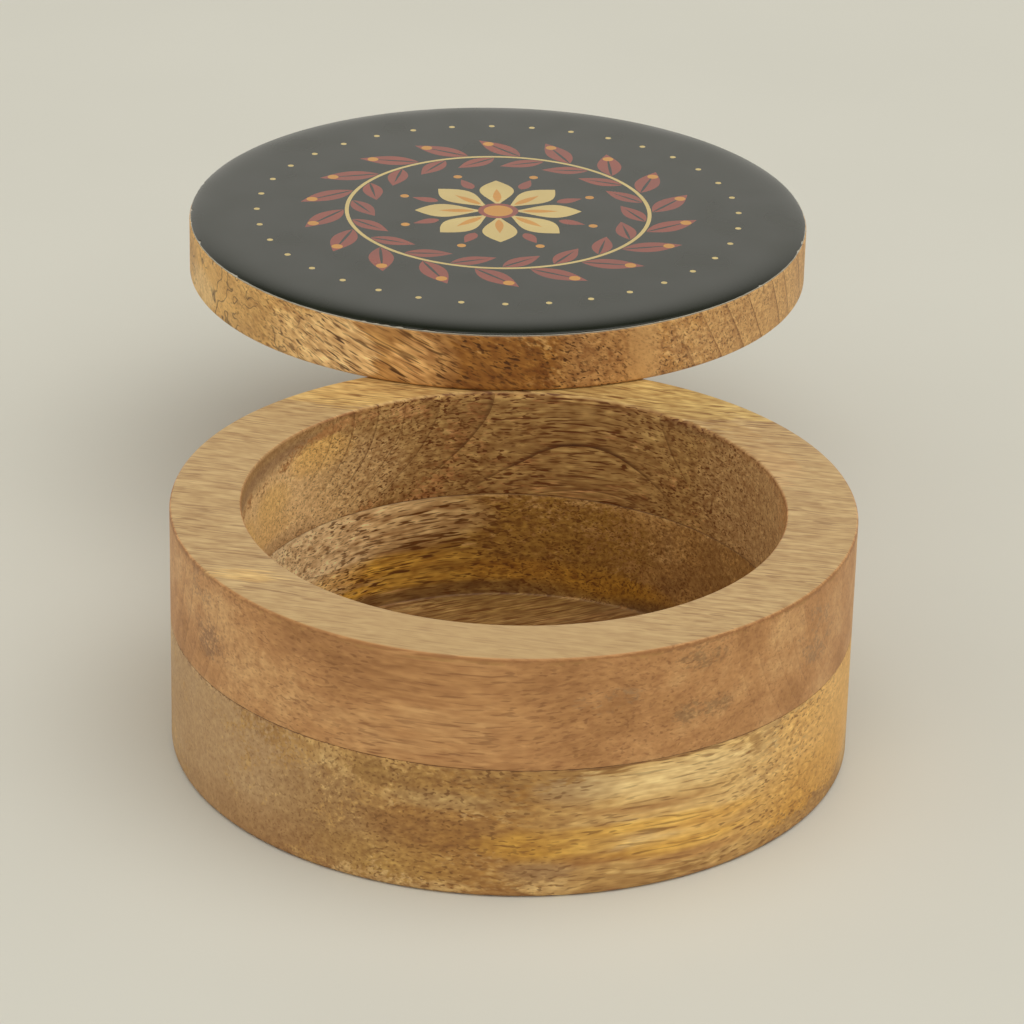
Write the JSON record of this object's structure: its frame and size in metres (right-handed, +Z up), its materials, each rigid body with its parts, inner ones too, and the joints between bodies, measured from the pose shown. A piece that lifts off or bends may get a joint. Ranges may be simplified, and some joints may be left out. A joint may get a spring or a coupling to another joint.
{
  "type": "round swivel-lid box",
  "caption": "Round wooden keeper box whose disc lid swings aside on a hidden pin in the back of the rim; the lid's top carries a dark, domed, printed enamel face.",
  "frame": {"origin": "centre of the body's underside, on the surface that the box stands on", "axes": "+Z up, +Y from the body's centre to the pivot in the back of the rim; at rest the lid is swung half a turn open and lies behind the body"},
  "size_m": [0.11, 0.2085, 0.052],
  "materials": {
    "block_wood": "mango wood, sanded, clear satin lacquer",
    "ring_wood": "mango wood, sanded, clear satin lacquer",
    "lid_wood": "mango wood, sanded, clear satin lacquer",
    "pin_steel": "cut rod, bright drawn",
    "pale_coat": "matt pale base coat",
    "slate_enamel": "poured slate enamel, satin gloss, with a print in cream, rust and ochre"
  },
  "bodies": {
    "body": {"lower_block": "block_wood", "upper_ring": "ring_wood", "pivot_pin": "pin_steel"},
    "lid": {"lid_board": "lid_wood", "base_coat": "pale_coat", "enamel_face": "slate_enamel"}
  },
  "joints": [
    {"name": "lid_swivel", "type": "hinge", "parent": "body", "child": "lid", "pos_m": [0, 0.04925, 0.041], "axis": [0, 0, 1], "continuous": true}
  ]
}
